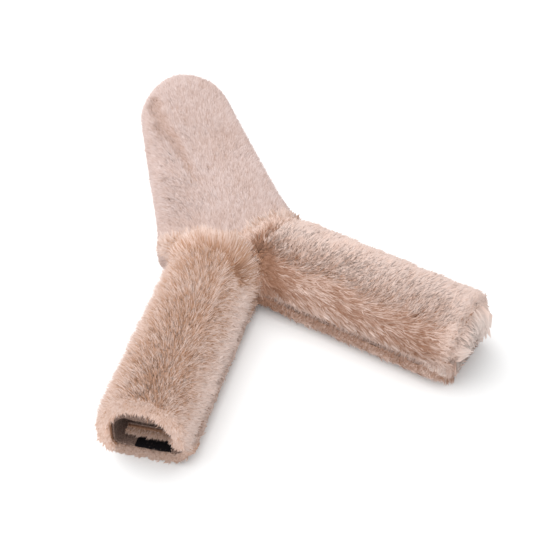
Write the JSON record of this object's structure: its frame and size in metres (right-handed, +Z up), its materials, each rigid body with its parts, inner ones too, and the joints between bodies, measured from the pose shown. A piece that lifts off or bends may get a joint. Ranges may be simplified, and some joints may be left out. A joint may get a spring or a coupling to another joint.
{
  "type": "harness strap cover",
  "caption": "Soft Y-shaped faux fur cover for a child seat harness: a padded tongue over the buckle and wrap-round sleeves for the shoulder straps.",
  "frame": {"origin": "on the underside of the tongue's lining, in the surface that the cover lies on, where the lines of the two sleeves start", "axes": "+Z up out of the surface, +Y along the tongue towards its tip, +X towards the right sleeve as seen from the sleeves' open ends"},
  "size_m": [0.2849, 0.386, 0.0569],
  "materials": {
    "brown_fur": "long soft faux fur pile, brown at the roots with pale tips",
    "pale_fur": "soft faux fur pile, pale pinkish beige",
    "lining": "short velour knit, taupe",
    "wadding": "loose polyester wadding",
    "tape": "black woven hook and loop tape"
  },
  "bodies": {
    "root": {"tongue_fur_cover": "pale_fur", "tongue_wadding": "wadding", "tongue_lining": "lining", "left_sleeve_fur": "brown_fur", "left_sleeve_lining": "lining", "left_hook_tape": "tape", "left_loop_tape": "tape", "right_sleeve_fur": "brown_fur", "right_sleeve_lining": "lining", "right_hook_tape": "tape", "right_loop_tape": "tape"}
  },
  "joints": []
}
